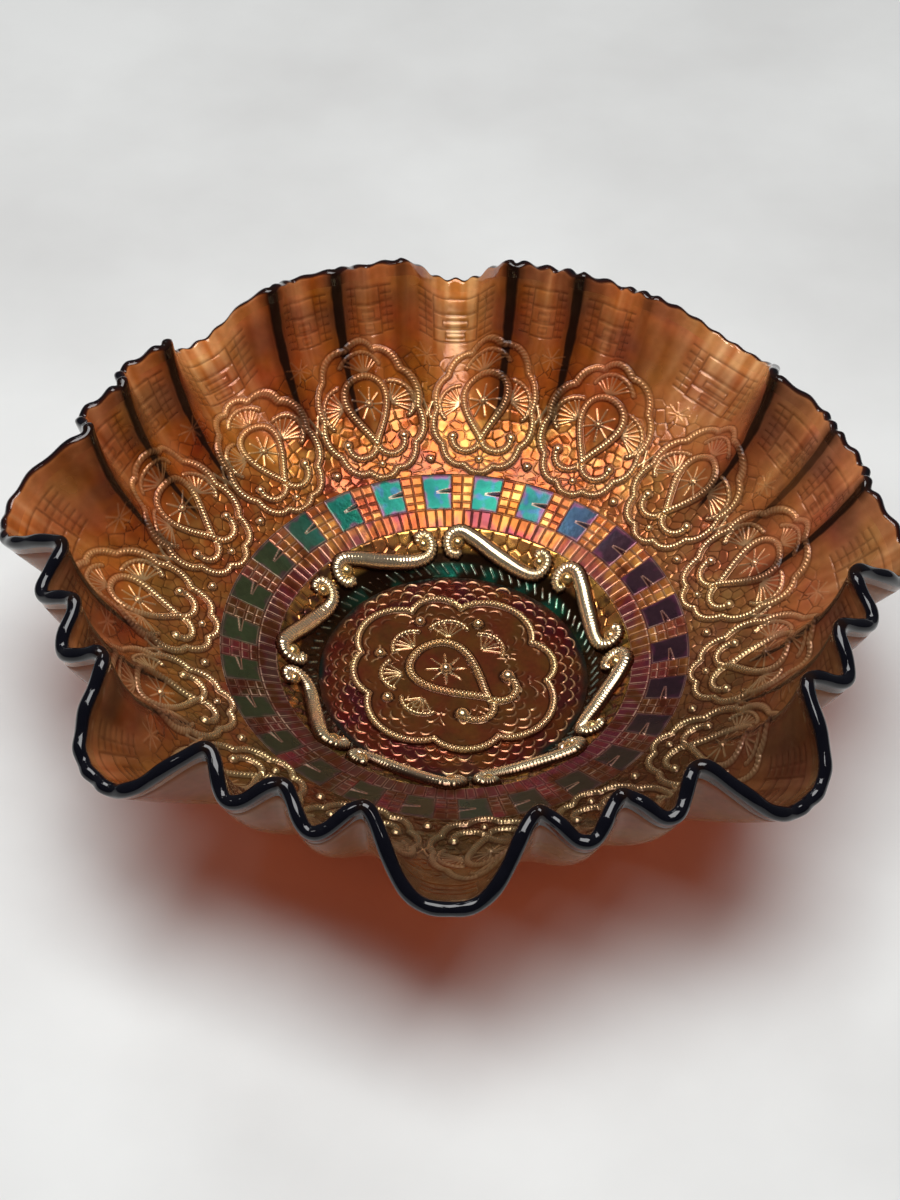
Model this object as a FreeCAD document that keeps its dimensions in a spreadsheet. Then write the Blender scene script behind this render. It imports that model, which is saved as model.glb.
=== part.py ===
import FreeCAD, Part
import math
import os

import Sketcher

# A pressed glass bowl with a collar base, a ring of scrolls, a brick band and a crimped edge.
# Millimetres. The bowl stands on XY, its axis is Z, and bearings run clockwise from +Y.

doc = FreeCAD.newDocument("bowl")
V = FreeCAD.Vector

# ---------------------------------------------------------------- driving dimensions
sheet = doc.addObject("Spreadsheet::Sheet", "Dimensions")
DIMENSIONS = [
    ("collar_inner_radius", 38.0),
    ("collar_outer_radius", 45.0),
    ("collar_height", 3.5),
    ("collar_edge_round", 0.8),
    ("floor_radius", 39.0),
    ("floor_thickness", 5.0),
    ("plaque_height", 1.0),
    ("plaque_core_radius", 25.0),
    ("plaque_turn", -12.0),
    ("corner_lobe_radius", 10.5),
    ("corner_lobe_reach", 22.5),
    ("side_lobe_radius", 10.0),
    ("side_lobe_reach", 20.0),
    ("cove_foot_radius", 45.0),
    ("cove_crest_radius", 45.5),
    ("cove_crest_height", 14.0),
    ("band_inner_radius", 50.8),
    ("band_inner_height", 18.3),
    ("band_outer_radius", 66.8),
    ("band_outer_height", 25.3),
    ("band_thickness", 4.4),
    ("band_slope", 24.0),
    ("scroll_count", 8),
    ("scroll_bead_radius", 1.7),
    ("scroll_first_bearing", 42.0),
    ("scroll_pitch", 45.0),
    ("wall_length", 66.5),
    ("edge_thickness", 3.2),
    ("lobe_edge_slope", 46.4),
    ("fold_edge_slope", 86.0),
    ("fold_extra_length", 3.5),
    ("rim_depth", 4.5),
    ("rim_bead_radius", 2.1),
]
for row, (alias, value) in enumerate(DIMENSIONS, start=1):
    sheet.set(f"A{row}", alias)
    sheet.set(f"B{row}", str(value))
    sheet.setAlias(f"B{row}", alias)
doc.recompute()


def size(alias):
    """The value of one cell of the sheet."""
    return float(sheet.get(alias))


def cell(alias):
    """How an expression names one cell of the sheet."""
    return f"Dimensions.{alias}"


# ---------------------------------------------------------------- turned zones
def origin_plane(body, role):
    return next(f for f in body.Origin.OriginFeatures if f.Role == role)


def turned_body(label, outline):
    """A body turned about Z from a closed outline of (radius, height) expressions."""
    body = doc.addObject("PartDesign::Body", label)
    body.Label = label
    sketch = body.newObject("Sketcher::SketchObject", label + "_section")
    sketch.AttachmentSupport = [(origin_plane(body, "XZ_Plane"), "")]
    sketch.MapMode = "FlatFace"
    rough = [V(40 + 5 * math.cos(k), 10 + 5 * math.sin(k), 0) for k in range(len(outline))]
    for k in range(len(outline)):
        sketch.addGeometry(Part.LineSegment(rough[k], rough[(k + 1) % len(outline)]), False)
    for k in range(len(outline)):
        sketch.addConstraint(Sketcher.Constraint("Coincident", k, 2, (k + 1) % len(outline), 1))
    for k, (radius, height) in enumerate(outline):
        for kind, expression in (("DistanceX", radius), ("DistanceY", height)):
            index = sketch.addConstraint(Sketcher.Constraint(kind, -1, 1, k, 1, 1.0))
            name = f"{kind[-1].lower()}{k}_place"
            sketch.renameConstraint(index, name)
            sketch.setExpression(f"Constraints.{name}", expression)
    turn = body.newObject("PartDesign::Revolution", label + "_turn")
    turn.Profile = sketch
    turn.ReferenceAxis = (sketch, ["V_Axis"])
    turn.Angle = 360.0
    sketch.Visibility = False
    doc.recompute()
    return body


floor_top = f"{cell('collar_height')} + {cell('floor_thickness')}"
band_drop_out = f"{cell('band_thickness')} * sin({cell('band_slope')} * 1 deg)"
band_drop_down = f"{cell('band_thickness')} * cos({cell('band_slope')} * 1 deg)"
under_inner = (
    f"{cell('band_inner_radius')} + {band_drop_out}",
    f"{cell('band_inner_height')} - {band_drop_down}",
)
under_outer = (
    f"{cell('band_outer_radius')} + {band_drop_out}",
    f"{cell('band_outer_height')} - {band_drop_down}",
)

collar_base = turned_body("collar_base", [
    (cell("collar_inner_radius"), "0"),
    (f"{cell('collar_outer_radius')} - {cell('collar_edge_round')}", "0"),
    (cell("collar_outer_radius"), cell("collar_edge_round")),
    (cell("collar_outer_radius"), cell("collar_height")),
    (cell("collar_inner_radius"), cell("collar_height")),
])

scroll_ring = turned_body("scroll_ring", [
    (cell("floor_radius"), cell("collar_height")),
    (cell("cove_foot_radius"), cell("collar_height")),
    under_inner,
    (cell("band_inner_radius"), cell("band_inner_height")),
    (cell("cove_crest_radius"), cell("cove_crest_height")),
    (cell("floor_radius"), floor_top),
])

brick_band = turned_body("brick_band", [
    under_inner,
    under_outer,
    (cell("band_outer_radius"), cell("band_outer_height")),
    (cell("band_inner_radius"), cell("band_inner_height")),
])

# The floor is a plain round pad between the collar's top and the plaque.
bowl_floor = doc.addObject("PartDesign::Body", "bowl_floor")
floor_outline = bowl_floor.newObject("Sketcher::SketchObject", "floor_outline")
floor_outline.AttachmentSupport = [(origin_plane(bowl_floor, "XY_Plane"), "")]
floor_outline.MapMode = "FlatFace"
floor_outline.addGeometry(Part.Circle(V(0, 0, 0), V(0, 0, 1), 30.0), False)
floor_outline.addConstraint(Sketcher.Constraint("Coincident", 0, 3, -1, 1))
floor_outline.addConstraint(Sketcher.Constraint("Radius", 0, 30.0))
floor_outline.renameConstraint(1, "outer_radius")
floor_outline.setExpression("Constraints.outer_radius", cell("floor_radius"))
floor_pad = bowl_floor.newObject("PartDesign::Pad", "floor_pad")
floor_pad.Profile = floor_outline
floor_pad.setExpression("Length", cell("floor_thickness"))
bowl_floor.setExpression("Placement.Base.z", cell("collar_height"))
doc.recompute()

# ---------------------------------------------------------------- plaque on the floor
LOBES = 8


def upright(name, radius_cell, height_cell):
    drum = doc.addObject("Part::Cylinder", name)
    drum.setExpression("Radius", cell(radius_cell))
    drum.setExpression("Height", cell(height_cell))
    return drum


plaque_drums = [upright("plaque_core", "plaque_core_radius", "plaque_height")]
for lobe in range(LOBES):
    kind = "corner" if lobe % 2 == 0 else "side"
    drum = upright(f"plaque_lobe_{lobe + 1}", f"{kind}_lobe_radius", "plaque_height")
    heading = f"({cell('plaque_turn')} + {45 + lobe * 360 // LOBES}) * 1 deg"
    drum.setExpression("Placement.Base.x", f"{cell(kind + '_lobe_reach')} * sin({heading})")
    drum.setExpression("Placement.Base.y", f"{cell(kind + '_lobe_reach')} * cos({heading})")
    plaque_drums.append(drum)
center_medallion = doc.addObject("Part::MultiFuse", "center_medallion")
center_medallion.Shapes = plaque_drums
center_medallion.Refine = True
center_medallion.setExpression("Placement.Base.z", floor_top)
doc.recompute()

# ---------------------------------------------------------------- scrolls on the cove
# One scroll as (degrees along the ring, radius) of its bead's centre line: a curled head,
# a long back that falls towards the floor, and a hooked tail.
SCROLL_LINE = [
    (3.4, 44.4), (0.8, 45.4), (0.9, 47.4), (3.8, 48.6), (8.6, 47.6), (16.0, 45.4),
    (24.0, 43.8), (31.0, 43.3), (35.4, 44.2), (36.4, 46.2), (34.8, 48.0),
]


def on_ring(bearing, radius, height):
    angle = math.radians(bearing)
    return V(radius * math.sin(angle), radius * math.cos(angle), height)


def cove_height(radius):
    """Height of the cove's upper face: a slope up to the crest, then the slope of the band's edge."""
    foot, crest, edge = size("floor_radius"), size("cove_crest_radius"), size("band_inner_radius")
    low, middle = size("collar_height") + size("floor_thickness"), size("cove_crest_height")
    if radius < crest:
        return low + (radius - foot) / (crest - foot) * (middle - low)
    return middle + (radius - crest) / (edge - crest) * (size("band_inner_height") - middle)


def scroll_bead(bearing):
    """One scroll: a round bead swept along its line, cut where it sinks into the cove."""
    bead = size("scroll_bead_radius")
    points = [on_ring(bearing + turn, radius, cove_height(radius)) for turn, radius in SCROLL_LINE]
    line = Part.BSplineCurve()
    line.interpolate(points)
    start = line.tangent(line.FirstParameter)[0]
    ring = Part.Wire([Part.makeCircle(bead, points[0], start)])
    solid = Part.Wire([line.toShape()]).makePipeShell([ring], True, True)
    return solid.cut(scroll_ring.Shape).Solids[0]


scrolls = doc.addObject("Part::Feature", "scrolls")
scrolls.Shape = Part.makeCompound([
    scroll_bead(size("scroll_first_bearing") + k * size("scroll_pitch"))
    for k in range(int(size("scroll_count")))
])
scrolls.Placement = FreeCAD.Placement()

# ---------------------------------------------------------------- ruffled wall and rim
# Eight groups of three folds are pinched inwards by hand, and a broad lobe hangs between groups.
FIRST_GROUP_BEARING = 22.1
GROUP_PITCH = 45.0
FOLD_PITCH = 11.2
GROUP_SLIP = (-3.6, 1.4, 0.0, 0.0, 0.0, 0.0, 1.6, 0.4)
FOLD_DEPTH = (
    (1.0, 1.0, 0.75), (1.0, 0.55, 0.5), (1.0, 1.0, 1.0), (1.0, 1.0, 1.0),
    (1.0, 1.0, 1.0), (1.0, 1.0, 1.0), (1.0, 1.0, 1.0), (1.0, 1.0, 0.85),
)
LOBE_REACH = (0.0, 1.5, 3.0, 0.5, 3.0, 3.5, -5.0, -3.0)
BROAD_LOBE_POWER = 1.5
SMALL_LOBE_DEPTH = 0.40

FOLDS = []
for group in range(8):
    middle = FIRST_GROUP_BEARING + GROUP_PITCH * group + GROUP_SLIP[group]
    for k in range(3):
        FOLDS.append((middle + (k - 1) * FOLD_PITCH, FOLD_DEPTH[group][k]))


def crimp(bearing):
    """How far the wall is folded in at a bearing (0 on a lobe, 1 on a fold), and its extra reach."""
    first = FOLDS[0][0]
    turned = first + (bearing - first) % 360.0
    index = max(k for k in range(len(FOLDS)) if FOLDS[k][0] <= turned + 1e-9)
    left, left_depth = FOLDS[index]
    right, right_depth = FOLDS[(index + 1) % len(FOLDS)]
    right += 360.0 if right < left else 0.0
    across = (turned - left) / (right - left)
    blend = (1 - math.cos(math.pi * across)) / 2
    depth = left_depth + (right_depth - left_depth) * blend
    if index % 3 == 2:
        bump = (1 + math.cos(math.pi * abs(2 * across - 1) ** BROAD_LOBE_POWER)) / 2
        return depth * (1 - bump), LOBE_REACH[index // 3] * bump
    bump = (1 + math.cos(math.pi * (2 * across - 1))) / 2
    return depth * (1 - SMALL_LOBE_DEPTH * bump), 0.0


def mid_wall(share, bearing):
    """Radius, height and slope of the wall's middle surface, a share of the way to the edge."""
    fold, reach = crimp(bearing)
    start = math.radians(size("band_slope"))
    lobe_end, fold_end = size("lobe_edge_slope"), size("fold_edge_slope")
    end = math.radians(lobe_end + (fold_end - lobe_end) * fold)
    length = size("wall_length") + size("fold_extra_length") * fold + reach
    bend = length / (end - start)
    slope = start + (end - start) * share
    half = size("band_thickness") / 2
    radius = size("band_outer_radius") + half * math.sin(start)
    height = size("band_outer_height") - half * math.cos(start)
    radius += bend * (math.sin(slope) - math.sin(start))
    height -= bend * (math.cos(slope) - math.cos(start))
    return radius, height, slope


def wall_point(share, bearing, across):
    """A point off the middle surface, along the surface's own normal. Inwards is positive."""
    step = 0.05
    radius, height, slope = mid_wall(share, bearing)
    before = on_ring(bearing - step, *mid_wall(share, bearing - step)[:2])
    after = on_ring(bearing + step, *mid_wall(share, bearing + step)[:2])
    upward = on_ring(bearing, math.cos(slope), math.sin(slope))
    inward = (after - before).cross(upward).normalize()
    point = on_ring(bearing, radius, height) + inward * across
    return V(point.x * POLE_GAIN, point.y * POLE_GAIN, point.z)


POLES_AROUND = 192
# Poles a little outside a circle make a cubic spline that runs on it.
POLE_GAIN = 6 / (4 + 2 * math.cos(2 * math.pi / POLES_AROUND))


def thickness(share):
    return size("band_thickness") + (size("edge_thickness") - size("band_thickness")) * share


def closed_skin(rows, degree):
    """A face that runs right round the bowl through rows of poles, each given as (share, across)."""
    poles = [
        [wall_point(share, 360.0 * k / POLES_AROUND, across) for share, across in rows]
        for k in range(POLES_AROUND)
    ]
    spans = len(rows) - degree
    skin = Part.BSplineSurface()
    skin.buildFromPolesMultsKnots(
        poles,
        [1] * (POLES_AROUND + 1),
        [degree + 1] + [1] * (spans - 1) + [degree + 1],
        [float(k) for k in range(POLES_AROUND + 1)],
        [float(k) for k in range(spans + 1)],
        True,
        False,
        3,
        degree,
    )
    return skin.toShape()


def closed_solid(faces):
    shell = Part.makeShell(faces)
    shell.sewShape(1e-3)
    solid = Part.makeSolid(shell)
    if solid.Volume < 0:
        solid.reverse()
    return solid


CUT = 1 - size("rim_depth") / size("wall_length")
WALL_ROWS = 9
wall_shares = [CUT * k / (WALL_ROWS - 1) for k in range(WALL_ROWS)]
inner_rows = [(share, thickness(share) / 2) for share in wall_shares]
outer_rows = [(share, -thickness(share) / 2) for share in wall_shares]

bowl_wall = doc.addObject("Part::Feature", "bowl_wall")
bowl_wall.Shape = closed_solid([
    closed_skin(inner_rows, 3),
    closed_skin(outer_rows, 3),
    closed_skin([inner_rows[0], outer_rows[0]], 1),
    closed_skin([inner_rows[-1], outer_rows[-1]], 1),
])
bowl_wall.Placement = FreeCAD.Placement()

# The rim's section starts at the wall's cut face and closes in a round bead.
edge = thickness(CUT) / 2
swell = size("rim_bead_radius")
tip = 1 - CUT
rim_half = [(CUT, edge), (CUT + 0.3 * tip, edge), (CUT + 0.5 * tip, 1.1 * swell), (CUT + 0.95 * tip, 1.1 * swell)]
rim_rows = rim_half + [(1 + 0.08 * tip, 0.0)] + [(share, -across) for share, across in reversed(rim_half)]
crimped_rim = doc.addObject("Part::Feature", "crimped_rim")
crimped_rim.Shape = closed_solid([
    closed_skin(rim_rows, 3),
    closed_skin([rim_rows[0], rim_rows[-1]], 1),
])
crimped_rim.Placement = FreeCAD.Placement()

# ---------------------------------------------------------------- check and write
doc.recompute()
NODES = [
    collar_base, bowl_floor, center_medallion, scroll_ring, scrolls, brick_band, bowl_wall, crimped_rim,
]
for item in doc.Objects:
    if "Invalid" in item.State or "Error" in item.State:
        raise RuntimeError(f"{item.Label} did not compute: {item.State}")
for node in NODES:
    if node.Shape.isNull() or not node.Shape.isValid():
        raise RuntimeError(f"{node.Label} has no valid shape")

os.makedirs("parts", exist_ok=True)
for node in NODES:
    node.Shape.exportStep(f"parts/{node.Label}.step")
    box = node.Shape.BoundBox
    print(f"{node.Label:18s} volume {node.Shape.Volume:10.1f}  x {box.XMin:6.1f} to {box.XMax:5.1f}  z to {box.ZMax:5.1f}")
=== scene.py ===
import math

import bpy
import numpy as np
from mathutils import Matrix, Vector


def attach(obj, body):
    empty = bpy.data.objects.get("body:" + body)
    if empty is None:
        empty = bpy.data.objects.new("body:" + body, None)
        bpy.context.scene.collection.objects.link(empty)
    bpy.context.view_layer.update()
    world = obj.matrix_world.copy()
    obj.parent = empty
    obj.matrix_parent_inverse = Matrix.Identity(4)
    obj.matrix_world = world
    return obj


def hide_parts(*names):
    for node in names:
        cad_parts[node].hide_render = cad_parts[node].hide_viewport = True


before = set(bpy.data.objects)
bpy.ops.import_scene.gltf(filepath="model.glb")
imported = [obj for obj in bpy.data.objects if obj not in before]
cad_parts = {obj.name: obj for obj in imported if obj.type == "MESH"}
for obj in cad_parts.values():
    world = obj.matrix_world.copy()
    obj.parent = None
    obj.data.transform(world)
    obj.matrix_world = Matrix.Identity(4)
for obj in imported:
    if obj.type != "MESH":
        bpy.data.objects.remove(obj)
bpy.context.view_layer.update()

# A carnival glass bowl: one pressing in eight moulded zones, each a closed mesh with its relief in
# the geometry. Lengths are millimetres until a mesh is made. Bearings run clockwise from +Y.

MM = 0.001
rng = np.random.default_rng(11)


# ---- small numeric helpers
def ease(low, high, x):
    t = np.clip((x - low) / (high - low), 0.0, 1.0)
    return t * t * (3 - 2 * t)


def between(low, full, fall, gone, x):
    """Rises from 0 at low to 1 at full, and falls from 1 at fall to 0 at gone."""
    return ease(low, full, x) * (1 - ease(fall, gone, x))


def hump(x, centre, width):
    return np.exp(-(((x - centre) / width) ** 2))


def sine(degrees):
    return np.sin(np.radians(degrees))


def cosine(degrees):
    return np.cos(np.radians(degrees))


def round_top(gap, half):
    """The height of a half round at a distance from its middle, 1 there and 0 from half on."""
    return np.sqrt(np.clip(1 - (gap / half) ** 2, 0, 1))


def mix(a, b, share):
    return a + (b - a) * share


def tint(rgb, shape):
    return np.broadcast_to(np.array(rgb, float), shape + (3,)).copy()


def lay(colour, rgb, share):
    """Paints rgb over a field of colours, by a share at each point."""
    return colour + (np.array(rgb, float) - colour) * np.clip(share, 0, 1)[..., None]


def paint(colour, *layers):
    """Lays several colours one after the other, each given as (rgb, share)."""
    for rgb, share in layers:
        colour = lay(colour, rgb, share)
    return colour


def bearings(columns):
    return np.arange(columns) * 360 / columns


def plan(radius, bearing):
    """x and y of a place given by its radius and bearing."""
    return radius * sine(bearing), radius * cosine(bearing)


def on_ring(radius, bearing, height):
    return np.stack(np.broadcast_arrays(*plan(radius, bearing), height), -1)


def waves(x, y, size, seed, octaves=2):
    """Smooth unevenness between about -1 and 1, the same on every run."""
    local = np.random.default_rng(seed)
    total = 0.0
    for k in range(octaves * 5):
        heading = local.uniform(0, 2 * math.pi)
        pitch = size / 1.7 ** (k // 5) * local.uniform(0.7, 1.4)
        phase = local.uniform(0, 2 * math.pi)
        run = (x * math.cos(heading) + y * math.sin(heading)) / pitch
        total = total + np.sin(run * 2 * math.pi + phase) / 1.7 ** (k // 5)
    return total / 3.2


# ---- lines, ropes, beads and cells
def flow(points, steps=8):
    """A smooth line through points."""
    p = np.array(points, float)
    ring = np.vstack([2 * p[0] - p[1], p, 2 * p[-1] - p[-2]])
    t = np.linspace(0, 1, steps, endpoint=False)[:, None]
    out = []
    for k in range(len(ring) - 3):
        a, b, c, d = ring[k:k + 4]
        bend = (2 * a - 5 * b + 4 * c - d) * t ** 2 + (3 * b - a - 3 * c + d) * t ** 3
        out.append(0.5 * (2 * b + (c - a) * t + bend))
    out.append(ring[-2][None, :])
    return np.vstack(out)


def off_line(x, y, line, reach):
    """Distance from a line, how far along it, and which side, within reach of it."""
    gap = np.full(x.shape, 99.0)
    along = np.zeros(x.shape)
    side = np.zeros(x.shape)
    run = 0.0
    for (ax, ay), (bx, by) in zip(line[:-1], line[1:]):
        length = math.hypot(bx - ax, by - ay)
        if length < 1e-6:
            continue
        near = (x > min(ax, bx) - reach) & (x < max(ax, bx) + reach)
        near &= (y > min(ay, by) - reach) & (y < max(ay, by) + reach)
        if near.any():
            ux, uy = (bx - ax) / length, (by - ay) / length
            px, py = x[near] - ax, y[near] - ay
            t = np.clip(px * ux + py * uy, 0, length)
            d = np.hypot(px - t * ux, py - t * uy)
            better = d < gap[near]
            where = np.flatnonzero(near.ravel())[better]
            gap.ravel()[where] = d[better]
            along.ravel()[where] = (run + t)[better]
            side.ravel()[where] = (px * uy - py * ux)[better]
        run += length
    return gap, along, side


class Relief:
    """A height field and its masks over a plane."""

    def __init__(self, x, y):
        self.x, self.y = x, y
        self.height = np.zeros(x.shape)
        # crest marks raised tops, which are later painted pale as a highlight; groove marks cuts and
        # cracks, and a painted shade line round ropes and beads
        self.crest = np.zeros(x.shape)
        self.groove = np.zeros(x.shape)
        self.tone = np.zeros(x.shape)

    def rope(self, line, half=0.62, tall=0.85, pitch=1.15, twist=0.2, fade=1.0):
        gap, along, side = off_line(self.x, self.y, line, half * 2.6)
        body = round_top(gap, half) * fade
        strand = 0.5 + 0.5 * np.cos(2 * math.pi * (along / pitch + 0.3 * side / half))
        rise = tall * body * (1 - twist + twist * strand)
        sunk = np.maximum(self.height * (1 - ease(half * 1.6, half, gap)), 0)
        self.height = np.where(gap < half * 1.6, sunk, self.height)
        self.height = np.maximum(self.height, rise)
        self.crest = np.maximum(self.crest, np.sqrt(body) * (0.38 + 0.62 * strand))
        # painted shade: a dark line round the rope's foot and between its ribs
        self.groove = np.maximum(self.groove * (gap > half), hump(gap, half * 1.25, half * 0.3) * fade)
        self.groove = np.maximum(self.groove, 0.34 * body * (1 - strand))

    def ridge(self, line, half=0.3, tall=0.4):
        gap, _, _ = off_line(self.x, self.y, line, half * 3)
        body = round_top(gap, half)
        self.height = np.maximum(self.height, tall * body)
        self.crest = np.maximum(self.crest, body * min(0.8, 2.2 * tall))

    def cut(self, line, half=0.28, deep=0.3):
        gap, _, _ = off_line(self.x, self.y, line, half * 3)
        body = hump(gap, 0, half)
        self.height = self.height - deep * body
        self.groove = np.maximum(self.groove, body)

    def bead(self, cx, cy, radius=1.1, tall=1.1):
        gap = np.hypot(self.x - cx, self.y - cy)
        body = round_top(gap, radius)
        self.height = np.where(gap < radius, np.maximum(self.height, tall * body), self.height)
        self.crest = np.maximum(self.crest, body)
        # painted shade: a dark ring round the bead's foot
        self.groove = np.maximum(self.groove * (gap > radius), hump(gap, radius * 1.15, radius * 0.25))

    def star(self, cx, cy, rays, inner, outer, turn=0.0, half=0.28, tall=0.35, flat=1.0):
        for k in range(rays):
            a = math.radians(turn + 360 * k / rays)
            s, c = math.sin(a), math.cos(a) * flat
            self.ridge(np.array([[cx + r * s, cy + r * c] for r in (inner, outer)]), half, tall)

    def fan(self, hub, heading, radius, spread=58, veins=6, fade=1.0):
        """An open fan on bare ground: a roped arc, and straight veins from the hub to it."""
        arc = arc_line(hub[0], hub[1], radius, heading - spread, heading + spread)
        patch = inside_line(self.x, self.y, np.vstack([arc, [hub]])) > 0
        self.height = np.where(patch, 0.02, self.height)
        self.groove = np.where(patch, 0.2 * self.groove, self.groove)
        for k in range(veins):
            tip = arc[int((k + 0.5) / veins * (len(arc) - 1))]
            self.ridge(np.array([mix(hub, tip, 0.10), mix(hub, tip, 0.92)]), 0.26, 0.34)
        self.rope(arc, half=0.62, tall=0.8, fade=fade)

    def cells(self, seeds, mask, half=0.26, deep=0.30, lean=0.035, salt=1):
        """Cracks halfway between seeds, with each cell a little tilted and of its own tone."""
        local = np.random.default_rng(salt)
        inside = mask > 0.01
        x, y = self.x[inside], self.y[inside]
        f1, f2 = np.full(x.shape, 99.0), np.full(x.shape, 99.0)
        tilt, tone = np.zeros(x.shape), np.zeros(x.shape)
        for sx, sy in seeds:
            lean_x, lean_y = local.uniform(-lean, lean, 2)
            own = local.uniform(-1, 1)
            d = np.hypot(x - sx, y - sy)
            closer = d < f1
            f2 = np.where(closer, f1, np.minimum(f2, d))
            f1 = np.where(closer, d, f1)
            tilt = np.where(closer, (x - sx) * lean_x + (y - sy) * lean_y, tilt)
            tone = np.where(closer, own, tone)
        share = mask[inside]
        crack = hump(f2 - f1, 0, half) * share
        self.height[inside] += (0.12 + tilt - deep * hump(f2 - f1, 0, half * 1.7)) * share
        self.groove[inside] = np.maximum(self.groove[inside], crack)
        self.tone[inside] = tone * share


def inside_line(x, y, line):
    """1 inside a closed line, 0 outside."""
    count = np.zeros(x.shape, int)
    closed = np.vstack([line, line[:1]])
    for (ax, ay), (bx, by) in zip(closed[:-1], closed[1:]):
        if ay == by:
            continue
        crosses = ((ay > y) != (by > y)) & (x < (bx - ax) * (y - ay) / (by - ay) + ax)
        count += crosses
    return (count % 2).astype(float)


# ---- stock ornament, by formula
def arc_line(cx, cy, radius, start, end, steps=22):
    """A round arc between two headings, which run clockwise from straight up."""
    a = np.radians(np.linspace(start, end, steps))
    return np.stack([cx + radius * np.sin(a), cy + radius * np.cos(a)], -1)


def curl_line(cx, cy, radius, side):
    """A half circle that starts on the middle line and swings under to one side."""
    return arc_line(cx + side * radius, cy, radius, 180 + 90 * side, 180 - 90 * side)


def lobed_oval(half_width, half_height, lobes, pinch, steps=150):
    """An oval about the origin whose edge is a run of equal round lobes."""
    turn = np.linspace(0, 2 * math.pi, steps, endpoint=False)
    swell = 1 - pinch * (1 - np.abs(np.cos(turn * lobes / 2)) ** 0.7)
    return np.stack([half_width * swell * np.sin(turn), -half_height * swell * np.cos(turn)], -1)


def teardrop(half_width, length, steps=60):
    """A plain drop about the origin, round at the top and pointed at the bottom."""
    turn = np.linspace(0, 2 * math.pi, steps)
    belly = np.sin(turn) * np.sin(turn / 2) ** 1.4
    return np.stack([half_width * belly / belly.max(), -length / 2 * np.cos(turn)], -1)


def turned(points, heading, shift):
    """Points turned clockwise by a heading, then moved."""
    a = math.radians(heading)
    px, py = np.asarray(points, float).T
    c, s = math.cos(a), math.sin(a)
    return np.stack([px * c + py * s + shift[0], py * c - px * s + shift[1]], -1)


# ---- meshes
def ring_mesh(name, rings, film, values, loop=True, hard=()):
    """A closed mesh of rings of points, (rings, columns, 3). Without loop, both ends close on a hub."""
    count, columns = rings.shape[:2]
    co = rings.reshape(-1, 3)
    colours = np.concatenate([film, np.ones(film.shape[:2] + (1,))], -1).reshape(-1, 4)
    fields = {key: value.reshape(-1) for key, value in values.items()}
    rows = np.arange(count if loop else count - 1)
    here = rows[:, None] * columns
    above = ((rows + 1) % count)[:, None] * columns
    j = np.arange(columns)
    after = (j + 1) % columns
    faces = np.stack([here + j, here + after, above + after, above + j], -1).reshape(-1, 4)
    flat = np.isin(np.repeat(rows, columns), hard)
    tris = np.zeros((0, 3), int)
    if not loop:
        ends = []
        for ring, order in ((0, 1), (count - 1, -1)):
            hub = len(co)
            first = ring * columns
            co = np.vstack([co, rings[ring].mean(0)])
            colours = np.vstack([colours, colours[first:first + columns].mean(0)])
            fields = {key: np.append(v, v[first:first + columns].mean()) for key, v in fields.items()}
            ends.append(np.stack([np.full(columns, hub), first + after, first + j][::order], -1))
        tris = np.vstack(ends)
    p = co[faces]
    if sum((p[:, 0] * np.cross(p[:, k], p[:, k + 1])).sum() for k in (1, 2)) < 0:
        faces, tris = faces[:, ::-1], tris[:, ::-1]
    mesh = bpy.data.meshes.new(name)
    mesh.vertices.add(len(co))
    mesh.vertices.foreach_set("co", (co * MM).astype(np.float32).ravel())
    corners = np.concatenate([faces.ravel(), tris.ravel()])
    mesh.loops.add(len(corners))
    mesh.loops.foreach_set("vertex_index", corners.astype(np.int32))
    starts = np.concatenate([np.arange(len(faces)) * 4, len(faces) * 4 + np.arange(len(tris)) * 3])
    mesh.polygons.add(len(starts))
    mesh.polygons.foreach_set("loop_start", starts.astype(np.int32))
    mesh.update(calc_edges=True)
    smooth = np.concatenate([~flat, np.ones(len(tris), bool)])
    mesh.polygons.foreach_set("use_smooth", smooth)
    layer = mesh.attributes.new("film", "FLOAT_COLOR", "POINT")
    layer.data.foreach_set("color", colours.astype(np.float32).ravel())
    for key, value in fields.items():
        layer = mesh.attributes.new(key, "FLOAT", "POINT")
        layer.data.foreach_set("value", value.astype(np.float32))
    mesh.validate()
    piece = bpy.data.objects.new(name, mesh)
    bpy.context.scene.collection.objects.link(piece)
    return piece


def shell(name, front, back, film, fields, back_film, back_clear):
    """One closed mesh of a front skin and a plain glass back, with sharp edges where they join."""
    rings = np.concatenate([front, back[::-1]])
    colours = np.concatenate([film, tint(back_film, back.shape[:2])])
    values = {
        key: np.concatenate([fields[key], np.full(back.shape[:2], plain)])
        for key, plain in (("metal", 0.0), ("clear", back_clear))
    }
    return ring_mesh(name, rings, colours, values, hard=(len(front) - 1, len(rings) - 1))


# ---- sizes and ruffle, as in the CAD
FIRST_GROUP_BEARING = 22.1
GROUP_PITCH = 45.0
FOLD_PITCH = 11.2
GROUP_SLIP = (-3.6, 1.4, 0.0, 0.0, 0.0, 0.0, 1.6, 0.4)
FOLD_DEPTH = ((1.0, 1.0, 0.75), (1.0, 0.55, 0.5)) + ((1.0, 1.0, 1.0),) * 5 + ((1.0, 1.0, 0.85),)
FOLD_DARK = ((1.0, 1.0, 0.3), (1.0, 0.8, 1.0)) + ((1.0, 1.0, 1.0),) * 5 + ((1.0, 1.0, 0.35),)
LOBE_REACH = (0.0, 1.5, 3.0, 0.5, 3.0, 3.5, -5.0, -3.0)
BROAD_LOBE_POWER = 1.5
SMALL_LOBE_DEPTH = 0.40
BAND_THICKNESS, EDGE_THICKNESS = 4.4, 3.2
COLLAR_R, COLLAR_TOP = 45.0, 3.5
FLOOR_R, FLOOR_Z = 39.0, 8.5
CREST_R, CREST_Z = 45.5, 14.0
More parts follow.
